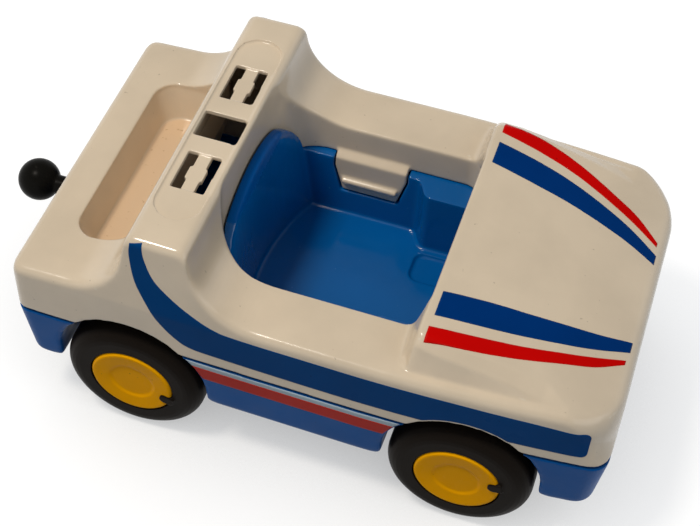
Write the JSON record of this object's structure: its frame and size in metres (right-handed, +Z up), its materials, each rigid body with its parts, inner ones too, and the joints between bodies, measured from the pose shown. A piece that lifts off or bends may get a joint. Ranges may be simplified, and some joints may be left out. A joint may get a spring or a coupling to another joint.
{
  "type": "toy car",
  "caption": "Toy patrol car with a moulded shell clipped to a chassis with seat tub, an open cab, a roll bar with accessory slots, wheel sets that roll freely and a tow ball.",
  "frame": {"origin": "on the ground under the middle of the whole length, midway between the wheels", "axes": "+X to the nose, +Y to the car's left side, +Z up"},
  "size_m": [0.1792, 0.0944, 0.0756],
  "materials": {
    "shell_plastic": "glossy",
    "chassis_plastic": "glossy",
    "tow_plastic": "satin",
    "axle_steel": "drawn rod",
    "hub_plastic": "glossy",
    "tyre_rubber": "smooth"
  },
  "bodies": {
    "body": {"upper_shell": "shell_plastic", "chassis": "chassis_plastic", "tow_hitch": "tow_plastic"},
    "front_wheels": {"axle_front": "axle_steel", "hub_front_left": "hub_plastic", "hub_front_right": "hub_plastic", "tyre_front_left": "tyre_rubber", "tyre_front_right": "tyre_rubber"},
    "rear_wheels": {"axle_rear": "axle_steel", "hub_rear_left": "hub_plastic", "hub_rear_right": "hub_plastic", "tyre_rear_left": "tyre_rubber", "tyre_rear_right": "tyre_rubber"}
  },
  "joints": [
    {"name": "front_axle_spin", "type": "hinge", "parent": "body", "child": "front_wheels", "pos_m": [0.0536, 0, 0.0195], "axis": [0, 1, 0], "continuous": true},
    {"name": "rear_axle_spin", "type": "hinge", "parent": "body", "child": "rear_wheels", "pos_m": [-0.0364, 0, 0.0195], "axis": [0, 1, 0], "continuous": true}
  ]
}
